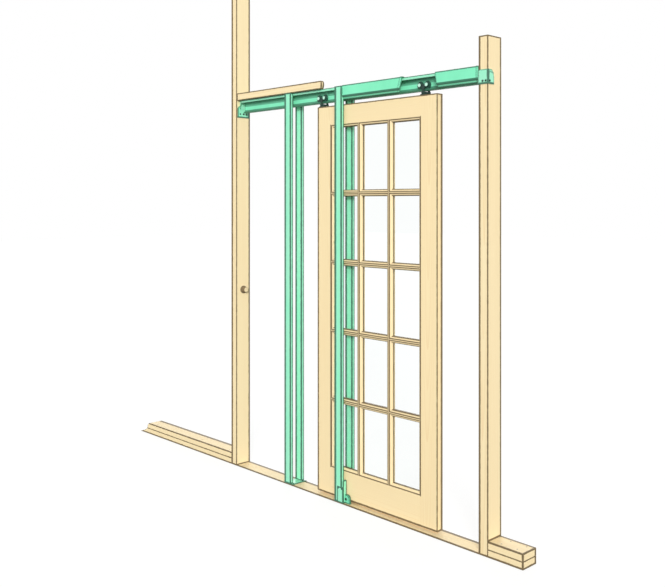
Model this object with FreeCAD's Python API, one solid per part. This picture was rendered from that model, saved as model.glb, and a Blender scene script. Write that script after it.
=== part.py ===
import FreeCAD, Part
import math
import os

# Pocket door frame: two timber studs joined by a steel track, with split steel studs either side
# of the pocket and a glazed door that hangs from two wheeled hangers. All sizes are in millimetres.
# +X runs along the wall from the pocket to the doorway, +Y to the back of the wall, +Z up.
# The origin is the centre of the left stud's foot.

# Timber
STUD_WIDTH = 50.0
WALL_DEPTH = 100.0
CLEAR_WIDTH = 1750.0
LEFT_STUD_HEIGHT = 2800.0
RIGHT_STUD_HEIGHT = 2280.0
PLATE_THICKNESS = 35.0
PLATE_TOP_LENGTH = 916.0
PLATE_SEAM_LENGTH = 936.0
PLATE_FOOT_LENGTH = 1022.0
UPPER_BREAK_BOW = -6.0
LOWER_BREAK_BOW = 12.0
RIGHT_PLATE = 180.0
FLOOR_STRIP = 6.0
NAILING_LENGTH = 727.0
NAILING_HEIGHT = 41.0
NAILING_THICKNESS = 22.0
NAILING_END_BOW = 6.0

# Track
TRACK_TOP = 2149.0
TRACK_HALF_WIDTH = 30.0
TRACK_PLATE = 4.0
TRACK_LIP = 3.0
TRACK_LIP_DROP = 16.0
WEB_HALF = 3.5
TREAD_TOP = 2083.0
TREAD_HALF = 15.0
TREAD_EDGE = 2.0
KEEL_BOTTOM = 2075.0
KEEL_HALF = 8.0
TRACK_END_GAP = 20.0

# Steel sheet pieces
SHEET = 2.0
BRACKET_SHEET = 2.5
SPLIT_WIDTH = 50.0
SPLIT_DEPTH = 20.0
POCKET_STUD_X = 459.0
JAMB_STUD_X = 858.0
COVER_FACE = 44.0
COVER_LIP = 31.0
COVER_FACE_BOTTOM = 2093.0
COVER_LIP_BOTTOM = 2078.0
COVER_LIP_EDGE = 2.6
COVER_TOP_INNER = 27.5
COVER_CORNER = 10.0
COVER_CUT_LEFT = 1322.0
COVER_CUT_RIGHT = 1522.0
COVER_CUT_RAKE = 31.0
COVER_CUT_RAKE_RIGHT = 16.0
COVER_CUT_BOW = 0.35
COVER_CUT_SPARE = 20.0
COVER_RIM = 14.0
COVER_RIM_PROUD = 1.2
SCREW_HOLE_R = 3.0

# End brackets
NECK_HALF = 26.0
TONGUE_LENGTH = 105.0
EAR_DROP = 54.0
EAR_GAP = 2.0
LEFT_PLATE_HALF = 44.0
LEFT_PLATE_BOTTOM = 2049.0
LEFT_PLATE_SHOULDER = 2117.0
LEFT_PLATE_CORNER = 12.0
LEFT_HOLE_RISE = 22.0
LEFT_HOLE_PITCH = 24.0
SADDLE_BOTTOM = 2066.0
SADDLE_TOP = 2131.0
SADDLE_RETURN = 40.0
SADDLE_CORNER = 14.0
SADDLE_HOLE_RISE = 14.0
SADDLE_FRONT_HOLES = (23.0, 40.0)
SADDLE_RETURN_HOLE = 9.0
DOUBLER_DROP = 9.0
DOUBLER_SLOPE = 6.0

# Door
DOOR_WIDTH = 820.0
DOOR_HEIGHT = 2040.0
DOOR_THICKNESS = 40.0
DOOR_LEFT = 697.0
DOOR_BOTTOM = 16.0
STILE = 104.0
TOP_RAIL = 104.0
BOTTOM_RAIL = 148.0
BEAD = 13.0
QUIRK = 2.0
BAR_FILLET = 9.0
COLUMNS = 3
ROWS = 5
GLASS = 4.0

# Hangers
HANGER_X = {"left": 729.0, "right": 1433.0}
HANGER_PLATE_HALF_LENGTH = 22.0
HANGER_PLATE_HALF_WIDTH = 18.0
HANGER_PLATE = 3.0
RIB_FOOT_HALF = 20.0
RIB_THICKNESS = 5.0
WHEEL_R = 18.5
WHEEL_CHAMFER = 0.8
WHEEL_PITCH = 43.0
WHEEL_INNER = 10.0
WHEEL_OUTER = 17.0
WHEEL_DISH = 1.5
WHEEL_DISH_R = 15.0
WHEEL_HUB_R = 7.5
ROLLING_GAP = 0.3
PIN_R = 3.0
PIN_CLEARANCE = 0.05
PIN_COLLAR_R = 4.5
PIN_HEAD_R = 7.5
PIN_SPACER_R = 5.0
SIDE_PLAY = 0.4
PIN_TAIL = 1.5
CHEEK_INNER = 20.0
CHEEK_OUTER = 22.5
CHEEK_BOSS_R = 8.5
CHEEK_LINK_HALF = 4.5
CHEEK_LINK_WAIST = 3.5
CHEEK_GUSSET_HALF = 15.0
CHEEK_WAIST_HALF = 5.0
CHEEK_WAIST_LEVEL = 2079.0
PIN_HEAD_OUTER = 25.0
BRIDGE_HALF = 11.0
YOKE_BOTTOM = 2064.0
YOKE_TOP = 2070.0

# Floor pieces
FOOT_PLATE_LEFT = 4.0
FOOT_PLATE_RIGHT = 21.0
TONGUE_INSET = 4.0
FOOT_TONGUE = 62.0
SHOE_SET = 22.0
SHOE_WIDTH = 43.0
SHOE_FRONT_HEIGHT = 88.0
SHOE_SIDE_HEIGHT = 124.0
SHOE_CORNER = 5.0
GUIDE_INNER = 25.0
GUIDE_OUTER = 38.0
GUIDE_LENGTH = 36.0
GUIDE_TOP = 50.0
GUIDE_SHOULDER = 16.0
GUIDE_LEAN = 5.0
GUIDE_CROWN = 21.0
GUIDE_ARC_IN = 10.0
GUIDE_ARC_DROP = 5.0
LEAD_LENGTH = 7.0
LEAD_DEPTH = 4.0

# Bumper
BUMPER_HEIGHT = 1034.0
BUMPER_LENGTH = 30.0
BUMPER_R = 19.0
BUMPER_TAPER = 3.0
BUMPER_FLANGE_R = 22.0
BUMPER_FLANGE = 4.0
BUMPER_NOSE = 5.0

# How far a cutter runs past what it cuts
OVERRUN = 10.0

# Points closer than this are one point
TOUCHING = 1e-6

HALF_DEPTH = WALL_DEPTH / 2
INNER_LEFT = STUD_WIDTH / 2
INNER_RIGHT = INNER_LEFT + CLEAR_WIDTH
RIGHT_OUTER = INNER_RIGHT + STUD_WIDTH
STUD_FOOT = FLOOR_STRIP + BRACKET_SHEET
HALF_DOOR = DOOR_THICKNESS / 2
DOOR_TOP = DOOR_BOTTOM + DOOR_HEIGHT
AXLE_Z = TREAD_TOP + WHEEL_R + ROLLING_GAP
JAMB_RIGHT = JAMB_STUD_X + SPLIT_WIDTH
SHOE_LEFT = JAMB_STUD_X + SHOE_SET
SHOE_RIGHT = SHOE_LEFT + SHOE_WIDTH
COVER_RIGHT = INNER_RIGHT - BRACKET_SHEET
TRACK_LEFT = INNER_LEFT + TRACK_END_GAP
TRACK_RIGHT = INNER_RIGHT - TRACK_END_GAP


def vec(x, y, z):
    return FreeCAD.Vector(x, y, z)


def block(x0, x1, y0, y1, z0, z1):
    return Part.makeBox(x1 - x0, y1 - y0, z1 - z0, vec(x0, y0, z0))


def lift(point, axis, at):
    """Puts a flat point on the plane that lies across the axis at the given place."""
    a, b = point
    if axis == "x":
        return vec(at, a, b)
    if axis == "y":
        return vec(a, at, b)
    return vec(a, b, at)


def flat_face(outline, axis, at):
    """A flat face across an axis. An entry of two points is an arc, by its middle and its end."""
    first = outline[0]
    edges = []
    here = lift(first, axis, at)
    for entry in outline[1:] + [first]:
        if isinstance(entry[0], tuple):
            there = lift(entry[1], axis, at)
            edges.append(Part.Arc(here, lift(entry[0], axis, at), there).toShape())
        else:
            there = lift(entry, axis, at)
            if there.distanceToPoint(here) > TOUCHING:
                edges.append(Part.makeLine(here, there))
        here = there
    return Part.Face(Part.Wire(edges))


def prism(outline, axis, start, end):
    """Extrudes an outline along an axis."""
    return flat_face(outline, axis, start).extrude(lift((0, 0), axis, end) - lift((0, 0), axis, start))


def mirrored(half):
    """Completes an outline from its half at positive first coordinate."""
    return half + [(-a, b) for a, b in reversed(half)]


def rod(radius, y0, y1, x, z):
    return Part.makeCylinder(radius, y1 - y0, vec(x, y0, z), vec(0, 1, 0))


def back_of(shape):
    """The same piece on the other side of the wall's middle plane."""
    return shape.mirror(vec(0, 0, 0), vec(0, 1, 0))


def fused(shapes):
    return shapes[0].multiFuse(shapes[1:]).removeSplitter()


def left_stud():
    return block(-INNER_LEFT, INNER_LEFT, -HALF_DEPTH, HALF_DEPTH, 0, LEFT_STUD_HEIGHT)


def right_stud():
    return block(INNER_RIGHT, RIGHT_OUTER, -HALF_DEPTH, HALF_DEPTH, 0, RIGHT_STUD_HEIGHT)


def left_sole_plate(top_length, bottom_length, level, bow):
    """A wall plate whose far end is a curved break that runs out towards its underside."""
    top = level + PLATE_THICKNESS
    top_end = -INNER_LEFT - top_length
    bottom_end = -INNER_LEFT - bottom_length
    middle = ((top_end + bottom_end) / 2 + bow, level + PLATE_THICKNESS / 2)
    outline = [(-INNER_LEFT, level), (-INNER_LEFT, top), (top_end, top), (middle, (bottom_end, level))]
    return prism(outline, "y", -HALF_DEPTH, HALF_DEPTH)


def right_sole_plate(level):
    end = RIGHT_OUTER + RIGHT_PLATE
    return block(RIGHT_OUTER, end, -HALF_DEPTH, HALF_DEPTH, level, level + PLATE_THICKNESS)


def floor_strip():
    return block(INNER_LEFT, INNER_RIGHT, -HALF_DEPTH, HALF_DEPTH, 0, FLOOR_STRIP)


def nailing_strip():
    end = INNER_LEFT + NAILING_LENGTH
    top = TRACK_TOP + NAILING_HEIGHT
    bulge = (end + NAILING_END_BOW, TRACK_TOP + NAILING_HEIGHT / 2)
    outline = [(INNER_LEFT, TRACK_TOP), (end, TRACK_TOP), (bulge, (end, top)), (INNER_LEFT, top)]
    return prism(outline, "y", -HALF_DEPTH, -HALF_DEPTH + NAILING_THICKNESS)


def bumper():
    """A rubber stop, turned about the X axis: a flange, a tapered body and a rounded nose."""
    tip = BUMPER_R - BUMPER_TAPER
    curve = BUMPER_NOSE * (1 - math.sqrt(0.5))
    outline = [
        (0, 0),
        (BUMPER_FLANGE_R, 0),
        (BUMPER_FLANGE_R, BUMPER_FLANGE),
        (BUMPER_R, BUMPER_FLANGE),
        (tip, BUMPER_LENGTH - BUMPER_NOSE),
        ((tip - curve, BUMPER_LENGTH - curve), (tip - BUMPER_NOSE, BUMPER_LENGTH)),
        (0, BUMPER_LENGTH),
    ]
    section = flat_face(outline, "y", 0)
    turned = section.revolve(vec(0, 0, 0), vec(0, 0, 1), 360)
    turned.rotate(vec(0, 0, 0), vec(0, 1, 0), 90)
    turned.translate(vec(INNER_LEFT, 0, BUMPER_HEIGHT))
    return turned


def track_head():
    """The track's folded head: a top plate with a lip down each edge."""
    inner = TRACK_HALF_WIDTH - TRACK_LIP
    plate = block(TRACK_LEFT, TRACK_RIGHT, -inner, inner, TRACK_TOP - TRACK_PLATE, TRACK_TOP)
    lip = block(TRACK_LEFT, TRACK_RIGHT, -TRACK_HALF_WIDTH, -inner, TRACK_TOP - TRACK_LIP_DROP, TRACK_TOP)
    return Part.makeCompound([plate, lip, back_of(lip)])


def track_rail():
    """The rail under the head: a web, and a flange below it with a tread on each side."""
    web = block(TRACK_LEFT, TRACK_RIGHT, -WEB_HALF, WEB_HALF, TREAD_TOP, TRACK_TOP - TRACK_PLATE)
    half = [
        (TREAD_HALF, TREAD_TOP),
        (TREAD_HALF, TREAD_TOP - TREAD_EDGE),
        (KEEL_HALF, KEEL_BOTTOM),
    ]
    return Part.makeCompound([web, prism(mirrored(half), "x", TRACK_LEFT, TRACK_RIGHT)])


def split_stud(x):
    """A rectangular tube on the front of the pocket, its outer face level with the timber's."""
    inner = HALF_DEPTH - SPLIT_DEPTH
    outside = block(x, x + SPLIT_WIDTH, -HALF_DEPTH, -inner, STUD_FOOT, TRACK_TOP)
    hollow = block(
        x + SHEET,
        x + SPLIT_WIDTH - SHEET,
        -HALF_DEPTH + SHEET,
        -inner - SHEET,
        STUD_FOOT - OVERRUN,
        TRACK_TOP + OVERRUN,
    )
    return outside.cut(hollow)


def cover(x0, x1, proud=0.0):
    """A header cover: a top flange on the track, a face, and a lip that slopes in underneath."""
    outline = [
        (-COVER_TOP_INNER, TRACK_TOP),
        (-COVER_TOP_INNER, TRACK_TOP + SHEET + proud),
        (-COVER_FACE - proud, TRACK_TOP + SHEET + proud),
        (-COVER_FACE - proud, COVER_FACE_BOTTOM - proud / 2),
        (-COVER_LIP, COVER_LIP_BOTTOM - proud),
        (-COVER_LIP, COVER_LIP_BOTTOM + COVER_LIP_EDGE),
        (-COVER_FACE + SHEET, COVER_FACE_BOTTOM + SHEET / 2),
        (-COVER_FACE + SHEET, TRACK_TOP),
    ]
    return prism(outline, "x", x0, x1)


def cut_end(x_top, rake, away):
    """The block beyond the raking, curved line that a cover is cut off along. Away is the block's side."""
    top = TRACK_TOP + OVERRUN
    bottom = COVER_LIP_BOTTOM - OVERRUN
    far = x_top + away * HALF_DEPTH
    middle = (x_top + rake * COVER_CUT_BOW, (top + bottom) / 2)
    outline = [(far, bottom), (far, top), (x_top, top), (middle, (x_top + rake, bottom))]
    return prism(outline, "y", -HALF_DEPTH, 0)


def front_cover_left():
    """The length at the jamb studs, with a raised rim along its cut end."""
    end = COVER_CUT_LEFT + COVER_CUT_SPARE
    band = cut_end(COVER_CUT_LEFT - COVER_RIM, -COVER_CUT_RAKE, 1)
    rim = cover(JAMB_RIGHT, end, COVER_RIM_PROUD).common(band)
    return fused([cover(JAMB_RIGHT, end), rim]).cut(cut_end(COVER_CUT_LEFT, -COVER_CUT_RAKE, 1))


def front_cover_right():
    """The length at the right stud, with a raised rim there whose top corner is rounded off."""
    plain = cover(COVER_CUT_RIGHT - COVER_CUT_SPARE, COVER_RIGHT)
    rim = cover(COVER_RIGHT - COVER_RIM, COVER_RIGHT, COVER_RIM_PROUD)
    top = TRACK_TOP + SHEET + COVER_RIM_PROUD
    curve = COVER_CORNER * (1 - math.sqrt(0.5))
    corner = [
        (COVER_RIGHT - COVER_CORNER, top),
        ((COVER_RIGHT - curve, top - curve), (COVER_RIGHT, top - COVER_CORNER)),
        (COVER_RIGHT + OVERRUN, top - COVER_CORNER),
        (COVER_RIGHT + OVERRUN, top + OVERRUN),
        (COVER_RIGHT - COVER_CORNER, top + OVERRUN),
    ]
    rounded = fused([plain, rim]).cut(prism(corner, "y", -HALF_DEPTH, 0))
    return rounded.cut(cut_end(COVER_CUT_RIGHT, COVER_CUT_RAKE_RIGHT, -1))


def end_gussets(x_stud, x_track):
    """Two ears that carry the track's end off the bracket's plate, and the tongue on the track's top."""
    way = 1.0 if x_track > x_stud else -1.0
    ear = [(x_stud, TRACK_TOP), (x_track - way * EAR_GAP, TRACK_TOP), (x_stud, TRACK_TOP - EAR_DROP)]
    front_ear = prism(ear, "y", -NECK_HALF, -NECK_HALF + BRACKET_SHEET)
    ends = sorted([x_stud, x_stud + way * TONGUE_LENGTH])
    tongue = block(ends[0], ends[1], -NECK_HALF, NECK_HALF, TRACK_TOP, TRACK_TOP + BRACKET_SHEET)
    return [front_ear, back_of(front_ear), tongue]


def screw_hole(x, y, z, along):
    """A round hole for a screw, along X or along Y."""
    way = vec(1, 0, 0) if along == "x" else vec(0, 1, 0)
    return Part.makeCylinder(SCREW_HOLE_R, 2 * OVERRUN, vec(x, y, z) - way * OVERRUN, way)


def left_end_bracket():
    """A plate on the stud's inner face with a row of screw holes, ears and a tongue."""
    half = [
        (LEFT_PLATE_HALF, LEFT_PLATE_BOTTOM),
        (LEFT_PLATE_HALF, LEFT_PLATE_SHOULDER - LEFT_PLATE_CORNER),
        (LEFT_PLATE_HALF - LEFT_PLATE_CORNER, LEFT_PLATE_SHOULDER),
        (NECK_HALF, LEFT_PLATE_SHOULDER),
        (NECK_HALF, TRACK_TOP + BRACKET_SHEET),
    ]
    plate = prism(mirrored(half), "x", INNER_LEFT, INNER_LEFT + BRACKET_SHEET)
    for y in (-LEFT_HOLE_PITCH, 0.0, LEFT_HOLE_PITCH):
        plate = plate.cut(screw_hole(INNER_LEFT, y, LEFT_PLATE_BOTTOM + LEFT_HOLE_RISE, "x"))
    return fused([plate] + end_gussets(INNER_LEFT + BRACKET_SHEET, TRACK_LEFT))


def right_end_bracket():
    """A saddle folded round the stud: an inner plate with ears and tongue, a front flange and a doubled return."""
    face = -HALF_DEPTH - SHEET
    inner_face = INNER_RIGHT - BRACKET_SHEET
    back_edge = -HALF_DEPTH + SADDLE_RETURN
    hole_z = SADDLE_BOTTOM + SADDLE_HOLE_RISE
    inner = block(inner_face, INNER_RIGHT, face, HALF_DEPTH, SADDLE_BOTTOM, SADDLE_TOP)
    neck = block(inner_face, INNER_RIGHT, -NECK_HALF, NECK_HALF, SADDLE_TOP, TRACK_TOP + BRACKET_SHEET)
    front = block(INNER_RIGHT, RIGHT_OUTER + SHEET, face, -HALF_DEPTH, SADDLE_BOTTOM, SADDLE_TOP)
    fold = [
        (-HALF_DEPTH, SADDLE_BOTTOM),
        (back_edge, SADDLE_BOTTOM),
        (back_edge, SADDLE_TOP - SADDLE_CORNER),
        (back_edge - SADDLE_CORNER, SADDLE_TOP),
        (-HALF_DEPTH, SADDLE_TOP),
    ]
    outer = prism(fold, "x", RIGHT_OUTER, RIGHT_OUTER + SHEET)
    doubler_top = SADDLE_TOP - DOUBLER_DROP
    layer = [
        (face, SADDLE_BOTTOM),
        (back_edge, SADDLE_BOTTOM),
        (back_edge, doubler_top - DOUBLER_SLOPE - SADDLE_CORNER),
        (back_edge - SADDLE_CORNER / 2, doubler_top - DOUBLER_SLOPE),
        (face, doubler_top),
    ]
    doubler = prism(layer, "x", RIGHT_OUTER + SHEET, RIGHT_OUTER + 2 * SHEET)
    ears = end_gussets(inner_face, TRACK_RIGHT)
    bracket = fused([inner, neck, front, outer, doubler] + ears)
    for along in SADDLE_FRONT_HOLES:
        bracket = bracket.cut(screw_hole(INNER_RIGHT + along, face, hole_z, "y"))
    return bracket.cut(screw_hole(RIGHT_OUTER + SHEET, -HALF_DEPTH + SADDLE_RETURN_HOLE, hole_z, "x"))


def pocket_foot_bracket():
    """A floor plate under both pocket studs, with a tongue up each tube and a low stiffening flange."""
    x0 = POCKET_STUD_X - FOOT_PLATE_LEFT
    x1 = POCKET_STUD_X + SPLIT_WIDTH + FOOT_PLATE_RIGHT
    plate = block(x0, x1, -HALF_DEPTH, HALF_DEPTH, FLOOR_STRIP, STUD_FOOT)
    flange = block(x1 - BRACKET_SHEET, x1, -HALF_DEPTH, HALF_DEPTH, STUD_FOOT, STUD_FOOT + BRACKET_SHEET)
    tongue = block(
        POCKET_STUD_X + TONGUE_INSET,
        POCKET_STUD_X + SPLIT_WIDTH - TONGUE_INSET,
        -HALF_DEPTH + SHEET,
        -HALF_DEPTH + SHEET + BRACKET_SHEET,
        STUD_FOOT,
        STUD_FOOT + FOOT_TONGUE,
    )
    return fused([plate, flange, tongue, back_of(tongue)])


def jamb_shoe():
    """A folded shoe on the jamb stud's foot, its side taller than its front, and a floor plate for the guide."""
    face = -HALF_DEPTH - SHEET
    inner = -GUIDE_INNER
    front = block(SHOE_LEFT, SHOE_RIGHT, face, -HALF_DEPTH, STUD_FOOT, SHOE_FRONT_HEIGHT)
    side = [
        (-HALF_DEPTH, STUD_FOOT),
        (inner, STUD_FOOT),
        (inner, SHOE_SIDE_HEIGHT - SHOE_CORNER),
        (inner - SHOE_CORNER, SHOE_SIDE_HEIGHT),
        (-HALF_DEPTH + SHOE_CORNER, SHOE_SIDE_HEIGHT),
        (-HALF_DEPTH, SHOE_SIDE_HEIGHT - SHOE_CORNER),
    ]
    wall = prism(side, "x", SHOE_RIGHT - SHEET, SHOE_RIGHT)
    plate = block(JAMB_STUD_X - SHEET, SHOE_RIGHT, face, -GUIDE_INNER, FLOOR_STRIP, STUD_FOOT)
    guide_end = SHOE_RIGHT + GUIDE_LENGTH
    guide_plate = block(SHOE_RIGHT, guide_end, -GUIDE_OUTER, -GUIDE_INNER, FLOOR_STRIP, STUD_FOOT)
    return fused([front, wall, plate, guide_plate])


def door_guide():
    """A guide that stands beside the door's foot, with a rounded top and a tapered lead-in."""
    x1 = SHOE_RIGHT + GUIDE_LENGTH
    outline = [
        (SHOE_RIGHT, STUD_FOOT),
        (x1, STUD_FOOT),
        (x1 - GUIDE_LEAN, GUIDE_TOP - GUIDE_SHOULDER),
        ((x1 - GUIDE_ARC_IN, GUIDE_TOP - GUIDE_ARC_DROP), (x1 - GUIDE_CROWN, GUIDE_TOP)),
        (SHOE_RIGHT, GUIDE_TOP),
    ]
    body = prism(outline, "y", -GUIDE_OUTER, -GUIDE_INNER)
    lead = [
        (x1 - LEAD_LENGTH, -GUIDE_INNER),
        (x1, -GUIDE_INNER - LEAD_DEPTH),
        (x1 + OVERRUN, -GUIDE_INNER - LEAD_DEPTH),
        (x1 + OVERRUN, -GUIDE_INNER),
    ]
    return body.cut(prism(lead, "z", 0, GUIDE_TOP + OVERRUN))


def stile(x, side):
    """A door stile with an ovolo bead along its inner edge. Side is the way the bead points."""
    flat = HALF_DOOR - QUIRK - BEAD
    curve = BEAD * math.sqrt(0.5)
    edge = x + side * STILE
    outline = [
        (x, -HALF_DOOR),
        (edge, -HALF_DOOR),
        (edge, -HALF_DOOR + QUIRK),
        ((edge + side * curve, -flat - curve), (edge + side * BEAD, -flat)),
        (edge + side * BEAD, flat),
        ((edge + side * curve, flat + curve), (edge, HALF_DOOR - QUIRK)),
        (edge, HALF_DOOR),
        (x, HALF_DOOR),
    ]
    return prism(outline, "z", DOOR_BOTTOM, DOOR_TOP)


def rail(z, width, side, stiles):
    """A door rail between the stiles, its beaded ends scribed over their beads."""
    flat = HALF_DOOR - QUIRK - BEAD
    curve = BEAD * math.sqrt(0.5)
    edge = z + side * width
    outline = [
        (-HALF_DOOR, z),
        (-HALF_DOOR, edge),
        (-HALF_DOOR + QUIRK, edge),
        ((-flat - curve, edge + side * curve), (-flat, edge + side * BEAD)),
        (flat, edge + side * BEAD),
        ((flat + curve, edge + side * curve), (HALF_DOOR - QUIRK, edge)),
        (HALF_DOOR, edge),
        (HALF_DOOR, z),
    ]
    blank = prism(outline, "x", DOOR_LEFT + STILE, DOOR_LEFT + DOOR_WIDTH - STILE)
    return blank.cut(stiles[0]).cut(stiles[1])


def bar_outline(centre, across_first):
    """The section of a glazing bar: a raised fillet on each face and an ovolo on each shoulder."""
    flat = HALF_DOOR - QUIRK - BEAD
    root = HALF_DOOR - QUIRK
    curve = BEAD * math.sqrt(0.5)
    half = BAR_FILLET / 2
    corners = []
    for a, b in ((1, -1), (1, 1), (-1, 1), (-1, -1)):
        fillet = (a * half, b * HALF_DOOR)
        quirk = (a * half, b * root)
        middle = (a * (half + curve), b * (flat + curve))
        shoulder = (a * (half + BEAD), b * flat)
        if a * b < 0:
            corners += [fillet, quirk, (middle, shoulder)]
        else:
            corners += [shoulder, (middle, quirk), fillet]

    def placed(point):
        moved = (point[0] + centre, point[1])
        return moved if across_first else (moved[1], moved[0])

    return [
        (placed(entry[0]), placed(entry[1])) if isinstance(entry[0], tuple) else placed(entry)
        for entry in corners
    ]


def bar_centres(start, end, count):
    """The middles of the bars that divide a beaded opening into equal lights."""
    bar = BAR_FILLET + 2 * BEAD
    light = (end - start - 2 * BEAD - (count - 1) * bar) / count
    return [start + BEAD + light + bar / 2 + i * (light + bar) for i in range(count - 1)]


OPENING_X = (DOOR_LEFT + STILE, DOOR_LEFT + DOOR_WIDTH - STILE)
OPENING_Z = (DOOR_BOTTOM + BOTTOM_RAIL, DOOR_TOP - TOP_RAIL)


def upright_bar(centre, rails):
    blank = prism(bar_outline(centre, True), "z", OPENING_Z[0], OPENING_Z[1])
    return blank.cut(rails[0]).cut(rails[1])


def cross_bars(stiles, uprights):
    """All the level bars: one row, scribed to the upright pieces at each bar's ends, and its copies."""
    ends = [OPENING_X[0]] + bar_centres(OPENING_X[0], OPENING_X[1], COLUMNS) + [OPENING_X[1]]
    posts = [stiles[0]] + uprights + [stiles[1]]
    levels = bar_centres(OPENING_Z[0], OPENING_Z[1], ROWS)
    first = levels[1]
    row = []
    for column in range(COLUMNS):
        blank = prism(bar_outline(first, False), "x", ends[column], ends[column + 1])
        row.append(blank.cut(posts[column]).cut(posts[column + 1]))
    return Part.makeCompound([bar.translated(vec(0, 0, level - first)) for level in levels for bar in row])


def lights(start, end, count):
    """The lowest and highest edges of each pane between the bars."""
    bar = BAR_FILLET + 2 * BEAD
    middles = bar_centres(start, end, count)
    lows = [start + BEAD] + [middle + bar / 2 for middle in middles]
    highs = [middle - bar / 2 for middle in middles] + [end - BEAD]
    return list(zip(lows, highs))


def glass_panes():
    panes = []
    for x0, x1 in lights(OPENING_X[0], OPENING_X[1], COLUMNS):
        for z0, z1 in lights(OPENING_Z[0], OPENING_Z[1], ROWS):
            panes.append(block(x0, x1, -GLASS / 2, GLASS / 2, z0, z1))
    return Part.makeCompound(panes)


def hanger_plate(x):
    """The plate on the door's top edge, with a wedge-shaped rib along each side that the yoke stands on."""
    top = DOOR_TOP + HANGER_PLATE
    edge = HANGER_PLATE_HALF_WIDTH
    plate = block(x - HANGER_PLATE_HALF_LENGTH, x + HANGER_PLATE_HALF_LENGTH, -edge, edge, DOOR_TOP, top)
    wedge = [
        (x - RIB_FOOT_HALF, top),
        (x + RIB_FOOT_HALF, top),
        (x + BRIDGE_HALF, YOKE_BOTTOM),
        (x - BRIDGE_HALF, YOKE_BOTTOM),
    ]
    rib = prism(wedge, "y", -edge, -edge + RIB_THICKNESS)
    return fused([plate, rib, back_of(rib)])


def cheek(x):
    """One side plate of a yoke: a waisted stem that spreads into a level link between the two axles."""
    arm = WHEEL_PITCH / 2
    link_top = AXLE_Z + CHEEK_LINK_HALF
    link_bottom = AXLE_Z - CHEEK_LINK_HALF
    outline = [
        (x - BRIDGE_HALF, YOKE_BOTTOM),
        (x + BRIDGE_HALF, YOKE_BOTTOM),
        (x + CHEEK_WAIST_HALF, CHEEK_WAIST_LEVEL),
        (x + CHEEK_GUSSET_HALF, link_bottom),
        (x + arm, link_bottom),
        (x + arm, link_top),
        ((x, AXLE_Z + CHEEK_LINK_WAIST), (x - arm, link_top)),
        (x - arm, link_bottom),
        (x - CHEEK_GUSSET_HALF, link_bottom),
        (x - CHEEK_WAIST_HALF, CHEEK_WAIST_LEVEL),
    ]
    return prism(outline, "y", -CHEEK_OUTER, -CHEEK_INNER)


def wheel_places(x):
    return [x - WHEEL_PITCH / 2, x + WHEEL_PITCH / 2]


def yoke(x):
    """The hanger's body: a bridge under the track, two forked cheeks and four headed wheel pins."""
    bridge = block(x - BRIDGE_HALF, x + BRIDGE_HALF, -CHEEK_OUTER, CHEEK_OUTER, YOKE_BOTTOM, YOKE_TOP)
    tail = -WHEEL_INNER + SIDE_PLAY
    side = [cheek(x)]
    for wheel_x in wheel_places(x):
        side.append(rod(CHEEK_BOSS_R, -CHEEK_OUTER, -CHEEK_INNER, wheel_x, AXLE_Z))
        side.append(rod(PIN_SPACER_R, -CHEEK_INNER, -WHEEL_OUTER - SIDE_PLAY, wheel_x, AXLE_Z))
        side.append(rod(PIN_R, -CHEEK_OUTER, tail, wheel_x, AXLE_Z))
        side.append(rod(PIN_COLLAR_R, tail, -WHEEL_INNER + PIN_TAIL, wheel_x, AXLE_Z))
        side.append(rod(PIN_HEAD_R, -PIN_HEAD_OUTER, -CHEEK_OUTER, wheel_x, AXLE_Z))
    return fused([bridge] + side + [back_of(piece) for piece in side])


def wheel(x, side):
    """A flat-treaded wheel with a dished outer face, on the front or the back of the track."""
    floor = -WHEEL_OUTER + WHEEL_DISH
    disc = rod(WHEEL_R, -WHEEL_OUTER, -WHEEL_INNER, x, AXLE_Z)
    rims = [edge for edge in disc.Edges if edge.Curve.TypeId == "Part::GeomCircle"]
    disc = disc.makeChamfer(WHEEL_CHAMFER, rims)
    dish = rod(WHEEL_DISH_R, -WHEEL_OUTER - OVERRUN, floor, x, AXLE_Z)
    dish = dish.cut(rod(WHEEL_HUB_R, -WHEEL_OUTER - 2 * OVERRUN, floor + OVERRUN, x, AXLE_Z))
    bore = rod(PIN_R + PIN_CLEARANCE, -WHEEL_OUTER - OVERRUN, -WHEEL_INNER + OVERRUN, x, AXLE_Z)
    disc = disc.cut(dish).cut(bore)
    return disc if side == "front" else back_of(disc)


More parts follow.
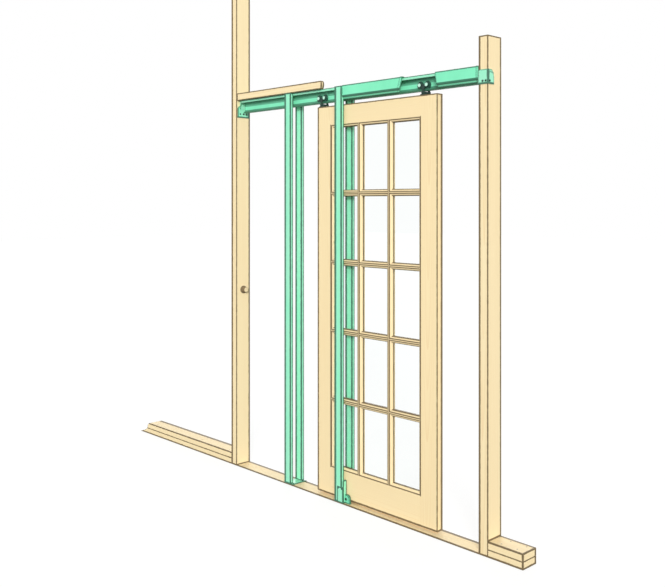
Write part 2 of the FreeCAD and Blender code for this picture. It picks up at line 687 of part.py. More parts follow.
def all_pieces():
    """Every piece of the frame by its name."""
    pieces = {
        "left_stud": left_stud(),
        "right_stud": right_stud(),
        "left_sole_plate_lower": left_sole_plate(PLATE_SEAM_LENGTH, PLATE_FOOT_LENGTH, 0, LOWER_BREAK_BOW),
        "left_sole_plate_upper": left_sole_plate(
            PLATE_TOP_LENGTH, PLATE_SEAM_LENGTH, PLATE_THICKNESS, UPPER_BREAK_BOW
        ),
        "right_sole_plate_lower": right_sole_plate(0),
        "right_sole_plate_upper": right_sole_plate(PLATE_THICKNESS),
        "floor_strip": floor_strip(),
        "nailing_strip": nailing_strip(),
        "bumper": bumper(),
        "track_head": track_head(),
        "track_rail": track_rail(),
        "left_end_bracket": left_end_bracket(),
        "right_end_bracket": right_end_bracket(),
        "front_cover_left": front_cover_left(),
        "front_cover_right": front_cover_right(),
        "back_cover": back_of(cover(JAMB_RIGHT, COVER_RIGHT)),
        "pocket_stud_front": split_stud(POCKET_STUD_X),
        "pocket_stud_back": back_of(split_stud(POCKET_STUD_X)),
        "jamb_stud_front": split_stud(JAMB_STUD_X),
        "jamb_stud_back": back_of(split_stud(JAMB_STUD_X)),
        "pocket_foot_bracket": pocket_foot_bracket(),
        "jamb_shoe_front": jamb_shoe(),
        "jamb_shoe_back": back_of(jamb_shoe()),
        "door_guide_front": door_guide(),
        "door_guide_back": back_of(door_guide()),
        "glass_panes": glass_panes(),
    }
    stiles = [stile(DOOR_LEFT, 1), stile(DOOR_LEFT + DOOR_WIDTH, -1)]
    rails = [rail(DOOR_BOTTOM, BOTTOM_RAIL, 1, stiles), rail(DOOR_TOP, TOP_RAIL, -1, stiles)]
    uprights = [upright_bar(x, rails) for x in bar_centres(OPENING_X[0], OPENING_X[1], COLUMNS)]
    pieces["door_stile_left"], pieces["door_stile_right"] = stiles
    pieces["door_bottom_rail"], pieces["door_top_rail"] = rails
    pieces["upright_bar_left"], pieces["upright_bar_right"] = uprights
    pieces["cross_bars"] = cross_bars(stiles, uprights)
    for place, x in HANGER_X.items():
        pieces[f"{place}_hanger_plate"] = hanger_plate(x)
        pieces[f"{place}_hanger_yoke"] = yoke(x)
        for side in ("front", "back"):
            for number, wheel_x in enumerate(wheel_places(x), 1):
                pieces[f"{place}_hanger_{side}_wheel_{number}"] = wheel(wheel_x, side)
    return pieces


def main():
    os.makedirs("parts", exist_ok=True)
    for name, shape in all_pieces().items():
        if not shape.isValid() or not shape.Solids:
            raise ValueError(f"{name} is not a valid solid")
        shape.exportStep(f"parts/{name}.step")


main()
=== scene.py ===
import math

import bpy
from mathutils import Euler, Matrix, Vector


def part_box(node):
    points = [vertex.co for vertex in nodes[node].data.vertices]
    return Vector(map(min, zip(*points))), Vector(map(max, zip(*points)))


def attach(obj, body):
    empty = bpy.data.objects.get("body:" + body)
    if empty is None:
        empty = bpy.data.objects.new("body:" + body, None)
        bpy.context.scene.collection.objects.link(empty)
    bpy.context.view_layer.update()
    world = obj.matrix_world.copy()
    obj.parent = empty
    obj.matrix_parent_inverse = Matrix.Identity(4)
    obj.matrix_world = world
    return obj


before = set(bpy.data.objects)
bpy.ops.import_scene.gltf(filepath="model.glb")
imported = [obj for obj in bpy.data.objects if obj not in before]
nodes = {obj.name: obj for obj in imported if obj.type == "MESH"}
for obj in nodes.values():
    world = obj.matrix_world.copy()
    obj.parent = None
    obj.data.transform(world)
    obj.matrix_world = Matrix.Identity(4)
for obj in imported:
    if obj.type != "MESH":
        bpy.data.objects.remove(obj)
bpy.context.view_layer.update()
MM = 0.001

# Pieces by their finish and by the way their grain runs
UPRIGHT_TIMBER = ["left_stud", "right_stud"]
LEVEL_TIMBER = [
    "left_sole_plate_lower",
    "left_sole_plate_upper",
    "right_sole_plate_lower",
    "right_sole_plate_upper",
    "floor_strip",
    "nailing_strip",
]
STILES = ["door_stile_left", "door_stile_right"]
UPRIGHT_DOOR = STILES + ["upright_bar_left", "upright_bar_right"]
LEVEL_DOOR = ["door_bottom_rail", "door_top_rail", "cross_bars"]
HEADER = ["track_rail", "front_cover_left", "front_cover_right", "back_cover"]
SPLIT_STUDS = ["pocket_stud_front", "pocket_stud_back", "jamb_stud_front", "jamb_stud_back"]
BRACKETS = ["left_end_bracket", "right_end_bracket", "pocket_foot_bracket"]
SHOES = ["jamb_shoe_front", "jamb_shoe_back"]
GUIDES = ["door_guide_front", "door_guide_back"]
HANGERS = ["left_hanger_plate", "left_hanger_yoke", "right_hanger_plate", "right_hanger_yoke"]
WHEELS = [name for name in nodes if "_wheel_" in name]

# Colours, linear
TIMBER_LIGHT = (0.95, 0.80, 0.50, 1)
TIMBER_LATE = (0.84, 0.62, 0.32, 1)
DOOR_LIGHT = (0.95, 0.785, 0.475, 1)
DOOR_LATE = (0.84, 0.61, 0.31, 1)
TIMBER_LINE = (0.10, 0.062, 0.022, 1)
MINT = (0.25, 0.88, 0.55, 1)
MINT_DEEP = (0.19, 0.76, 0.46, 1)
PALE_MINT = (0.36, 0.85, 0.59, 1)
MINT_LINE = (0.008, 0.06, 0.032, 1)
GUIDE_GREEN = (0.16, 0.56, 0.37, 1)
HANGER_BLACK = (0.012, 0.032, 0.024, 1)
HANGER_GREEN = (0.02, 0.07, 0.05, 1)
WHEEL_GREEN = (0.010, 0.085, 0.053, 1)
WHEEL_DEEP = (0.007, 0.036, 0.025, 1)
CAP_MINT = (0.62, 0.93, 0.78, 1)
RUBBER_BROWN = (0.20, 0.145, 0.08, 1)
# Cream of the bumper's nose: a painted highlight
RUBBER_CREAM = (0.82, 0.66, 0.40, 1)
SCREW_DARK = (0.015, 0.03, 0.024, 1)
NAIL_GREY = (0.42, 0.38, 0.30, 1)
GLASS_TINT = (0.97, 0.99, 0.985, 1)

# Node helpers
LINE_FADE = 1.2 * MM
NOISE_SPAN = (0.3, 0.7)
NOISE_MIDDLE = 0.5


def add(tree, kind, inputs=None, **settings):
    """Adds a node to a tree. An input is a plain value or another node's output."""
    made = tree.nodes.new(kind)
    for key, value in settings.items():
        setattr(made, key, value)
    for key, value in (inputs or {}).items():
        if isinstance(value, bpy.types.NodeSocket):
            tree.links.new(value, made.inputs[key])
        else:
            made.inputs[key].default_value = value
    return made


def maths(tree, operation, first, second=0.0, clamp=False):
    inputs = {0: first, 1: second}
    return add(tree, "ShaderNodeMath", inputs, operation=operation, use_clamp=clamp).outputs[0]


def times(tree, first, second):
    return maths(tree, "MULTIPLY", first, second)


def less(tree, first, second):
    return maths(tree, "SUBTRACT", first, second)


def without_sign(tree, value):
    return maths(tree, "ABSOLUTE", value)


def vector_maths(tree, operation, first, second=(0.0, 0.0, 0.0)):
    made = add(tree, "ShaderNodeVectorMath", {0: first, 1: second}, operation=operation)
    return made.outputs["Value" if operation in ("LENGTH", "DOT_PRODUCT") else "Vector"]


def scaled(tree, vector, factors):
    return vector_maths(tree, "MULTIPLY", vector, factors)


def axes_of(tree, vector):
    return add(tree, "ShaderNodeSeparateXYZ", {0: vector}).outputs


def vector_of(tree, x, y, z):
    return add(tree, "ShaderNodeCombineXYZ", {0: x, 1: y, 2: z}).outputs[0]


def remap(tree, value, low, high, to_low=0.0, to_high=1.0):
    inputs = {"Value": value, "From Min": low, "From Max": high, "To Min": to_low, "To Max": to_high}
    return add(tree, "ShaderNodeMapRange", inputs).outputs[0]


def spread(tree, value, low=0.0, high=1.0):
    """Spreads the usual span of a noise over two values."""
    return remap(tree, value, *NOISE_SPAN, low, high)


def near(tree, value, at, width):
    """One within a width of a place along an axis, with a short fade."""
    off = without_sign(tree, less(tree, value, at))
    return remap(tree, off, width, width - LINE_FADE)


def between(tree, value, low, high):
    return near(tree, value, (low + high) / 2, (high - low) / 2)


def most(tree, *masks):
    """The strongest of several masks."""
    strongest = masks[0]
    for mask in masks[1:]:
        strongest = maths(tree, "MAXIMUM", strongest, mask)
    return strongest


def noise(tree, vector, size=1.0, detail=2.0):
    inputs = {"Vector": vector, "Scale": size, "Detail": detail}
    return add(tree, "ShaderNodeTexNoise", inputs).outputs[0]


def mixed(tree, factor, first, second):
    """A colour between two colours."""
    made = add(tree, "ShaderNodeMix", {0: factor, 6: first, 7: second}, data_type="RGBA")
    return made.outputs[2]


def new_group(name, inputs, outputs, kind="ShaderNodeTree", gives="NodeSocketFloat"):
    """An empty node group with its named sockets."""
    group = bpy.data.node_groups.new(name, kind)
    for label, takes, value in inputs:
        socket = group.interface.new_socket(label, in_out="INPUT", socket_type=takes)
        if value is not None:
            socket.default_value = value
    for label in outputs:
        group.interface.new_socket(label, in_out="OUTPUT", socket_type=gives)
    return group, group.nodes.new("NodeGroupInput").outputs, group.nodes.new("NodeGroupOutput").inputs


# Effects that several finishes share
SWAY_STRETCH = (4.0, 4.0, 0.9)
ACROSS_BOARD = (1.0, 1.0, 0.0)
FIBRE_STRETCH = (620.0, 620.0, 9.0)
DRIFT_STRETCH = (5.0, 5.0, 0.8)
LATE_WOOD_POWER = 2.5
FAINTEST_YEAR = 0.45
ARRIS_SAMPLES = 8
STILL_FLAT = 0.993
FULLY_TURNED = 0.95
LINE_PATCH_SIZE = 60.0
FAINTEST_PATCH = 0.82
BORDER_SIZE = 40.0
BORDER_SPAN = (0.85, 1.1)
BORDER_FADE = 0.75
MOTTLE_STRETCH = (9.0, 9.0, 6.0)
SCUFF_STRETCH = (60.0, 60.0, 22.0)
SCUFF_SPAN = (0.66, 0.78)


def board_grain():
    """Growth rings about a pith that runs along Z, with fibres along the board."""
    group, given, result = new_group(
        "board_grain",
        [
            ("Vector", "NodeSocketVector", None),
            ("Ring Width", "NodeSocketFloat", 5.0 * MM),
            ("Wander", "NodeSocketFloat", 12.0 * MM),
        ],
        ["Rings", "Fibres", "Drift", "Height"],
    )
    place = given["Vector"]
    sway = noise(group, scaled(group, place, SWAY_STRETCH))
    across = vector_maths(group, "LENGTH", scaled(group, place, ACROSS_BOARD))
    sideways = times(group, less(group, sway, NOISE_MIDDLE), given["Wander"])
    count = maths(group, "DIVIDE", maths(group, "ADD", across, sideways), given["Ring Width"])
    late = maths(group, "POWER", maths(group, "FRACT", count), LATE_WOOD_POWER)
    number = maths(group, "FLOOR", count)
    year = add(group, "ShaderNodeTexWhiteNoise", {"W": number}, noise_dimensions="1D").outputs["Value"]
    rings = times(group, late, remap(group, year, 0.0, 1.0, FAINTEST_YEAR, 1.0))
    fibres = noise(group, scaled(group, place, FIBRE_STRETCH), detail=3.0)
    drift = noise(group, scaled(group, place, DRIFT_STRETCH), detail=1.0)
    height = times(group, maths(group, "ADD", rings, fibres), 0.5)
    for label, value in zip(("Rings", "Fibres", "Drift", "Height"), (rings, fibres, drift, height)):
        group.links.new(value, result[label])
    return group


def arris_mask():
    """Finds folds, arrises and inner corners by how far a softened normal leaves the true one. The mask
    darkens them: dark lines on outer arrises, and painted shade in folds and inner corners.
    """
    group, given, result = new_group(
        "arris_mask",
        [("Vector", "NodeSocketVector", None), ("Reach", "NodeSocketFloat", 3.0 * MM)],
        ["Mask"],
    )
    soft = add(group, "ShaderNodeBevel", {"Radius": given["Reach"]}, samples=ARRIS_SAMPLES).outputs[0]
    true = add(group, "ShaderNodeNewGeometry").outputs["Normal"]
    turn = remap(group, vector_maths(group, "DOT_PRODUCT", soft, true), STILL_FLAT, FULLY_TURNED)
    # Random patches where the dark lines and the painted shade are fainter
    patchy = spread(group, noise(group, given["Vector"], LINE_PATCH_SIZE, detail=3.0), FAINTEST_PATCH, 1.0)
    group.links.new(maths(group, "MULTIPLY", turn, patchy, clamp=True), result["Mask"])
    return group


def edge_lines():
    """Lines of one width along the twelve edges of a box, with a slightly uneven border."""
    group, given, result = new_group(
        "edge_lines",
        [
            ("Vector", "NodeSocketVector", None),
            ("Low", "NodeSocketVector", None),
            ("High", "NodeSocketVector", None),
            ("Width", "NodeSocketFloat", 6.0 * MM),
        ],
        ["Mask"],
    )
    place = given["Vector"]
    from_low = vector_maths(group, "SUBTRACT", place, given["Low"])
    from_high = vector_maths(group, "SUBTRACT", given["High"], place)
    depth = vector_maths(group, "MAXIMUM", vector_maths(group, "MINIMUM", from_low, from_high))
    parts = axes_of(group, depth)
    lesser = maths(group, "MINIMUM", parts["X"], parts["Y"])
    greater = maths(group, "MAXIMUM", parts["X"], parts["Y"])
    from_edge = maths(group, "MAXIMUM", lesser, maths(group, "MINIMUM", greater, parts["Z"]))
    uneven = spread(group, noise(group, place, BORDER_SIZE, detail=3.0), *BORDER_SPAN)
    share = maths(group, "DIVIDE", from_edge, times(group, given["Width"], uneven))
    group.links.new(remap(group, share, 1.0, BORDER_FADE), result["Mask"])
    return group


def paint_skin():
    """The unevenness of a sprayed coat: slow mottle, fine peel and light scuffs."""
    group, given, result = new_group(
        "paint_skin",
        [("Vector", "NodeSocketVector", None), ("Peel Size", "NodeSocketFloat", 260.0)],
        ["Mottle", "Peel", "Scuff"],
    )
    place = given["Vector"]
    mottle = noise(group, scaled(group, place, MOTTLE_STRETCH), detail=3.0)
    peel = noise(group, place, given["Peel Size"], detail=1.0)
    streak = noise(group, scaled(group, place, SCUFF_STRETCH), detail=4.0)
    group.links.new(mottle, result["Mottle"])
    group.links.new(peel, result["Peel"])
    group.links.new(remap(group, streak, *SCUFF_SPAN), result["Scuff"])
    return group


GRAIN = board_grain()
ARRIS = arris_mask()
EDGES = edge_lines()
PAINT = paint_skin()


def placed_group(tree, group, inputs):
    return add(tree, "ShaderNodeGroup", inputs, node_tree=group).outputs


def new_material(name):
    """An empty material, and the Object coordinates that its patterns read."""
    made = bpy.data.materials.new(name)
    made.use_nodes = True
    tree = made.node_tree
    tree.nodes.clear()
    coordinates = add(tree, "ShaderNodeTexCoord").outputs["Object"]
    return made, tree, coordinates


def surfaced(tree, inputs):
    """Gives a material its surface shader."""
    skin = add(tree, "ShaderNodeBsdfPrincipled", inputs)
    add(tree, "ShaderNodeOutputMaterial", {"Surface": skin.outputs[0]})


def bump(tree, height, strength, distance):
    inputs = {"Height": height, "Strength": strength, "Distance": distance}
    return add(tree, "ShaderNodeBump", inputs).outputs[0]


def arrises(tree, coordinates, reach):
    return placed_group(tree, ARRIS, {"Vector": coordinates, "Reach": reach})["Mask"]


# Timber
BOARD_WOOD = {
    "light": TIMBER_LIGHT,
    "late": TIMBER_LATE,
    "ring_width": 5.5 * MM,
    "ring_share": 0.55,
    "smoothest": 0.6,
    "relief": 0.4,
}
DOOR_WOOD = {
    "light": DOOR_LIGHT,
    "late": DOOR_LATE,
    "ring_width": 3.5 * MM,
    "ring_share": 0.42,
    "smoothest": 0.5,
    "relief": 0.22,
}
FIBRE_SPAN = (0.35, 0.75)
FIBRE_SHARE = 0.16
DRIFT_SHARE = 0.14
ROUGHEST_WOOD = 0.75
GRAIN_DEPTH = 0.5 * MM
GRAIN_TILT = 0.010
FIRST_SWING = 0.7
NEXT_SWING = 2.4
PITH_AWAY = 65.0 * MM
PITH_STEP = 10.0 * MM
PITH_STEPS = 4

# Lines on timber. The extra widths are in millimetres, for the low and the high side of each axis
BOARD_REACH = 6.0 * MM
BOARD_LINE = 7.5 * MM
DOOR_LINE = 7.0 * MM
PLAIN = (0.0, 0.0, 0.0)
OUTLINE_MORE = ((4.5, -2.0, 3.0), (-2.0, 4.5, 0.0))
DOOR_MORE = ((4.5, -2.0, 3.0), (-2.0, 8.0, 0.0))
BOARD_MORE = {
    "left_stud": ((9.0, -2.0, 3.0), (-2.0, 4.5, 0.0)),
    "left_sole_plate_lower": ((0.0, 0.0, 3.0), (-8.0, 16.0, -3.5)),
    "left_sole_plate_upper": ((0.0, 0.0, -3.5), (-8.0, 16.0, 0.0)),
    "right_sole_plate_lower": ((-8.0, 0.0, 3.0), (0.0, 7.0, -3.5)),
    "right_sole_plate_upper": ((-8.0, 0.0, -3.5), (0.0, 7.0, 0.0)),
    "floor_strip": (PLAIN, (0.0, 12.0, 0.0)),
    "nailing_strip": ((4.5, 0.0, -3.5), (0.0, 4.5, 0.0)),
}
PLATE_BESIDE = {"left_stud": "left_sole_plate_upper", "right_stud": "right_sole_plate_upper"}
JOINT_LINE = 8.0 * MM
JOINT_DEPTH = 3.0 * MM
QUIRK_LINE = 3.2 * MM
STILE_QUIRK_LINE = 6.0 * MM
UPRIGHT_PANE_LINE = 5.5 * MM
PANE_LINE = {"door_bottom_rail": 10.5 * MM, "door_top_rail": 15.5 * MM, "cross_bars": 15.5 * MM}
FILLET_HALF = 4.5 * MM
ROWS_OF_BARS = 4
# Painted shade on one side of each glazing bar, and a slight darkening of its other, lit side
LEVEL_BAR_SHADE = 0.12
UPRIGHT_BAR_SHADE = 0.36
BAR_LIT = 0.08
LINE_SHARE = 0.9
SKIN = 0.2 * MM


def grain_place(node, level, number):
    """The turn and the shift that put a board's pith beside the board, a different way for each."""
    low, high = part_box(node)
    swing = NEXT_SWING * number + FIRST_SWING
    tilt = GRAIN_TILT * (1 if number % 2 else -1)
    if level:
        turn = Euler((tilt, math.radians(-90) + tilt, 0))
        away = Vector((0, math.sin(swing), math.cos(swing)))
    else:
        turn = Euler((tilt, -tilt, 0))
        away = Vector((math.sin(swing), math.cos(swing), 0))
    pith = (low + high) / 2 + away * (PITH_AWAY + PITH_STEP * (number % PITH_STEPS))
    return turn, -(turn.to_matrix() @ pith)


def box_lines(tree, coordinates, box, width, more=(PLAIN, PLAIN)):
    """Lines along a box's edges, wider by so many millimetres from its low and its high faces."""
    low = box[0] + Vector(more[0]) * MM
    high = box[1] - Vector(more[1]) * MM
    inputs = {"Vector": coordinates, "Low": low, "High": high, "Width": width}
    return placed_group(tree, EDGES, inputs)["Mask"]


def joint_line(tree, coordinates, node):
    """A line across a stud's outer side, where the top of the plate beside it meets it."""
    parts = axes_of(tree, coordinates)
    low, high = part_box(node)
    plate_low, plate_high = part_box(PLATE_BESIDE[node])
    side = low.x if plate_low.x < low.x else high.x
    outer = near(tree, parts["X"], side, JOINT_DEPTH)
    return times(tree, outer, near(tree, parts["Z"], plate_high.z, JOINT_LINE))


def board_lines(tree, coordinates, node):
    """A board's darkened arrises, its outline, and on a stud the joint with the plate."""
    # Dark lines along the board's arrises, from the mask that also paints shade into inner corners
    darkened_arrises = arrises(tree, coordinates, BOARD_REACH)
    more = BOARD_MORE.get(node, OUTLINE_MORE)
    mask = most(tree, darkened_arrises, box_lines(tree, coordinates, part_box(node), BOARD_LINE, more))
    if node in PLATE_BESIDE:
        mask = most(tree, mask, joint_line(tree, coordinates, node))
    return mask


def from_bar_middle(tree, parts, node):
    """How far a point lies from the middle line of its glazing bar, to the right or up."""
    low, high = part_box(node)
    if node != "cross_bars":
        return less(tree, parts["X"], (low.x + high.x) / 2)
    first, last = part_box("upright_bar_left")
    half_bar = (last.x - first.x) / 2
    pitch = (high.z - low.z - 2 * half_bar) / (ROWS_OF_BARS - 1)
    up = less(tree, parts["Z"], low.z + half_bar)
    row = maths(tree, "ROUND", maths(tree, "DIVIDE", up, pitch))
    return less(tree, up, times(tree, row, pitch))


def from_opening(tree, parts):
    """How far a point of the door lies outside the glazed opening, less than nothing inside it."""
    rail_low, rail_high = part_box("door_top_rail")
    bar_low, bar_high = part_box("upright_bar_left")
    across = without_sign(tree, less(tree, parts["X"], (rail_low.x + rail_high.x) / 2))
    along = without_sign(tree, less(tree, parts["Z"], (bar_low.z + bar_high.z) / 2))
    outside_x = less(tree, across, (rail_high.x - rail_low.x) / 2)
    outside_z = less(tree, along, (bar_high.z - bar_low.z) / 2)
    return most(tree, outside_x, outside_z)


def door_lines(tree, coordinates, node, level):
    """The door's outer arrises, the quirks of its mouldings, the edges of its panes, and painted shade
    on the glazing bars.
    """
    door = (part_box("door_stile_left")[0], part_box("door_stile_right")[1])
    outer = box_lines(tree, coordinates, door, DOOR_LINE, DOOR_MORE)
    parts = axes_of(tree, coordinates)
    outside = from_opening(tree, parts)
    beside = near(tree, parts["Y"], 0.0, PANE_LINE.get(node, UPRIGHT_PANE_LINE))
    pane = times(tree, beside, maths(tree, "LESS_THAN", outside, SKIN))
    if "bar" not in node:
        width = STILE_QUIRK_LINE if node in STILES else QUIRK_LINE
        return most(tree, outer, pane, near(tree, outside, 0.0, width))
    off = from_bar_middle(tree, parts, node)
    quirk = near(tree, without_sign(tree, off), FILLET_HALF, QUIRK_LINE)
    # Painted shade: one side of each bar with its fillet is darkened (left on upright bars, upper on
    # level bars), the other side a little
    to_light = times(tree, off, -1.0 if level else 1.0)
    shaded = maths(tree, "LESS_THAN", to_light, FILLET_HALF)
    side = remap(tree, shaded, 0.0, 1.0, BAR_LIT, LEVEL_BAR_SHADE if level else UPRIGHT_BAR_SHADE)
    return most(tree, pane, quirk, side)


def timber(node, level, number, door=False):
    """Pale softwood for one piece: rings and fibres in the solid, and darker lines on its edges."""
    wood = DOOR_WOOD if door else BOARD_WOOD
    made, tree, coordinates = new_material(f"{node}_wood")
    turn, shift = grain_place(node, level, number)
    inputs = {"Vector": coordinates, "Location": shift, "Rotation": turn}
    grain_at = add(tree, "ShaderNodeMapping", inputs).outputs[0]
    grain = placed_group(tree, GRAIN, {"Vector": grain_at, "Ring Width": wood["ring_width"]})
    rings = times(tree, grain["Rings"], wood["ring_share"])
    streaks = remap(tree, grain["Fibres"], *FIBRE_SPAN, 0.0, FIBRE_SHARE)
    slow = spread(tree, grain["Drift"], 0.0, DRIFT_SHARE)
    amount = maths(tree, "ADD", maths(tree, "ADD", rings, streaks), slow, clamp=True)
    colour = mixed(tree, amount, wood["light"], wood["late"])
    if door:
        mask = door_lines(tree, coordinates, node, level)
    else:
        mask = board_lines(tree, coordinates, node)
    surfaced(
        tree,
        {
            "Base Color": mixed(tree, times(tree, mask, LINE_SHARE), colour, TIMBER_LINE),
            "Roughness": remap(tree, grain["Height"], 0.0, 1.0, wood["smoothest"], ROUGHEST_WOOD),
            "Specular IOR Level": 0.3,
            "Normal": bump(tree, grain["Height"], wood["relief"], GRAIN_DEPTH),
        },
    )
    return made


# Metal, plastic, rubber and glass
HEADER_REACH = 9.0 * MM
BRACKET_REACH = 9.0 * MM
SMALL_REACH = 5.0 * MM
GUIDE_REACH = 10.0 * MM
STUD_LINE = 7.2 * MM
STUD_MORE = ((7.5, 0.0, 0.0), PLAIN)
BRACKET_LINE = 9.5 * MM
SHOE_LINE = 7.5 * MM
SHOE_SET = 22.0 * MM
SHOE_FRONT_TOP = 88.0 * MM
SHOE_SHEET = 2.0 * MM
GUIDE_LINE = 9.0 * MM
COVER_LINE = 5.0 * MM
COVER_FOOT_LINE = 7.5 * MM
LIP_FOOT_LINE = 3.0 * MM
LIP_TOP_LINE = 5.0 * MM
COVER_FACE_DROP = 58.0 * MM
COVER_LIP_IN = 13.0 * MM
RAIL_SKIN = 0.5 * MM
# Painted shade on the rail: widths of the bands under the head's lip and along the keel, then how dark
# each is
WEB_SHADE = 22.0 * MM
KEEL_SHADE = 18.0 * MM
WEB_SHARE = 0.6
KEEL_SHARE = 0.8
GREEN_LINE_SHARE = 0.85
TRACK_HEAD_LINE_SHARE = 0.8
MOULDED_LINE_SHARE = 0.85
MOTTLE_SHARE = 0.55
SCUFF_SHARE = 0.12
GREEN_ROUGHNESS = 0.42
STEEL_ROUGHNESS_SPAN = 0.1
MOULDED_ROUGHNESS_SPAN = 0.12
MOULDED_PEEL_SIZE = 900.0
RUBBER_PEEL_SIZE = 500.0
NOSE_RAGGED = 0.6 * MM
NOSE_FADE = (1.2 * MM, 0.2 * MM)
RUBBER_ROUGHNESS = (0.7, 0.85)
GLASS_WAVE_SIZE = 3.0


def fold_line(tree, parts, fold, width):
    """A line along a fold of the header, which is a distance from the middle plane and a height."""
    out = less(tree, without_sign(tree, parts["Y"]), fold[0])
    up = less(tree, parts["Z"], fold[1])
    apart = vector_maths(tree, "LENGTH", vector_of(tree, 0.0, out, up))
    return near(tree, apart, 0.0, width)


def header_lines(tree, coordinates):
    """The folds of the covers, and painted shade in the deep corners above and below the rail's web."""
    parts = axes_of(tree, coordinates)
    foot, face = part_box("back_cover")
    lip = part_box("track_head")[0]
    rail_low, rail_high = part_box("track_rail")
    folds = [
        fold_line(tree, parts, (face.y, face.z), COVER_LINE),
        fold_line(tree, parts, (face.y, face.z - COVER_FACE_DROP), COVER_FOOT_LINE),
        fold_line(tree, parts, (face.y - COVER_LIP_IN, foot.z), COVER_LINE),
    ]
    inner = maths(tree, "LESS_THAN", without_sign(tree, parts["Y"]), rail_high.y + RAIL_SKIN)
    # Painted shade: a band on the web below the head's lip, and a darker band along the keel
    web = between(tree, parts["Z"], lip.z - WEB_SHADE, rail_high.z + WEB_SHADE)
    keel = near(tree, parts["Z"], rail_low.z, KEEL_SHADE)
    deep = most(tree, times(tree, web, WEB_SHARE), times(tree, keel, KEEL_SHARE))
    return most(tree, *folds, times(tree, deep, inner))


def head_lines(tree, coordinates):
    """The edges of the head's two lips."""
    parts = axes_of(tree, coordinates)
    low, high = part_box("track_head")
    foot = fold_line(tree, parts, (high.y, low.z), LIP_FOOT_LINE)
    return most(tree, foot, fold_line(tree, parts, (high.y, high.z), LIP_TOP_LINE))


def shoe_lines(tree, coordinates):
    """The borders of a shoe's front and of its taller side, the same for the front and the back shoe."""
    parts = axes_of(tree, coordinates)
    out = without_sign(tree, parts["Y"])
    folded = vector_of(tree, parts["X"], out, parts["Z"])
    low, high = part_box("jamb_shoe_back")
    stud_low, stud_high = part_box("jamb_stud_back")
    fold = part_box("door_guide_back")[0].x
    front_low = Vector((stud_low.x + SHOE_SET, stud_high.y, low.z))
    front_high = Vector((fold, high.y, SHOE_FRONT_TOP))
    side_low = Vector((fold - SHOE_SHEET, low.y, low.z))
    side_high = Vector((fold, stud_high.y, high.z))
    on_front = maths(tree, "GREATER_THAN", out, stud_high.y - SKIN)
    on_side = maths(tree, "GREATER_THAN", parts["X"], fold - SHOE_SHEET - SKIN)
    front_lines = times(tree, on_front, box_lines(tree, folded, (front_low, front_high), SHOE_LINE))
    side_lines = times(tree, on_side, box_lines(tree, folded, (side_low, side_high), SHOE_LINE))
    return most(tree, front_lines, side_lines)


def guide_lines(tree, coordinates):
    """A line round the guides' tops, along the side that is next to the door."""
    out = without_sign(tree, axes_of(tree, coordinates)["Y"])
    return near(tree, out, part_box("door_guide_back")[0].y, GUIDE_LINE)


def lined(tree, coordinates, reach, lines):
    """The mask of a piece's arrises, with the lines that are drawn on it."""
    mask = arrises(tree, coordinates, reach)
    return most(tree, mask, lines(tree, coordinates)) if lines else mask


def painted_steel(name, base, deep, line_colour, line_share, roughness, reach=SMALL_REACH, lines=None):
    """Sprayed steel: mottle and peel in the coat, dark lines on arrises with painted shade in folds and
    inner corners, scuffs that dull it.
    """
    made, tree, coordinates = new_material(name)
    coat = placed_group(tree, PAINT, {"Vector": coordinates})
    colour = mixed(tree, spread(tree, coat["Mottle"], 0.0, MOTTLE_SHARE), base, deep)
    # Dark lines on arrises, and painted shade in folds and inner corners
    mask = times(tree, lined(tree, coordinates, reach, lines), line_share)
    slow = spread(tree, coat["Mottle"], roughness, roughness + STEEL_ROUGHNESS_SPAN)
    surfaced(
        tree,
        {
            "Base Color": mixed(tree, mask, colour, line_colour),
            "Roughness": maths(tree, "ADD", slow, times(tree, coat["Scuff"], SCUFF_SHARE)),
            "Specular IOR Level": 0.35,
            "Normal": bump(tree, coat["Peel"], strength=0.12, distance=0.3 * MM),
        },
    )
    return made


def green_steel(name, base, deep, reach, lines, line_share=GREEN_LINE_SHARE):
    """The frame's green paint."""
    return painted_steel(name, base, deep, MINT_LINE, line_share, GREEN_ROUGHNESS, reach, lines)


def bordered_steel(node, reach, width, more=(PLAIN, PLAIN)):
    """Green paint for one piece, with a line along each edge of its box."""
    def borders(tree, coordinates):
        return box_lines(tree, coordinates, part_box(node), width, more)

    return green_steel(f"{node}_steel", PALE_MINT, MINT, reach, borders)


def moulded(name, base, deep, roughness, reach=SMALL_REACH, lines=None):
    """Moulded plastic or nylon with a fine grain and slow drift in its colour."""
    made, tree, coordinates = new_material(name)
    coat = placed_group(tree, PAINT, {"Vector": coordinates, "Peel Size": MOULDED_PEEL_SIZE})
    colour = mixed(tree, spread(tree, coat["Mottle"]), base, deep)
    mask = times(tree, lined(tree, coordinates, reach, lines), MOULDED_LINE_SHARE)
    surfaced(
        tree,
        {
            "Base Color": mixed(tree, mask, colour, MINT_LINE),
            "Roughness": spread(tree, coat["Peel"], roughness, roughness + MOULDED_ROUGHNESS_SPAN),
            "Specular IOR Level": 0.4,
            "Normal": bump(tree, coat["Peel"], strength=0.1, distance=0.15 * MM),
        },
    )
    return made


def bumper_rubber():
    """Brown rubber whose pressed nose is cream: the cream is a painted highlight on the lit end face."""
    made, tree, coordinates = new_material("bumper_rubber")
    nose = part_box("bumper")[1].x
    along = axes_of(tree, coordinates)["X"]
    coat = placed_group(tree, PAINT, {"Vector": coordinates, "Peel Size": RUBBER_PEEL_SIZE})
    ragged = maths(tree, "ADD", along, times(tree, coat["Peel"], NOSE_RAGGED))
    # Painted highlight: the nose end turns cream, and the side keeps the brown
    pale = remap(tree, ragged, nose - NOSE_FADE[0], nose - NOSE_FADE[1])
    surfaced(
        tree,
        {
            "Base Color": mixed(tree, pale, RUBBER_BROWN, RUBBER_CREAM),
            "Roughness": spread(tree, coat["Mottle"], *RUBBER_ROUGHNESS),
            "Specular IOR Level": 0.3,
            "Normal": bump(tree, coat["Peel"], strength=0.25, distance=0.3 * MM),
        },
    )
    return made


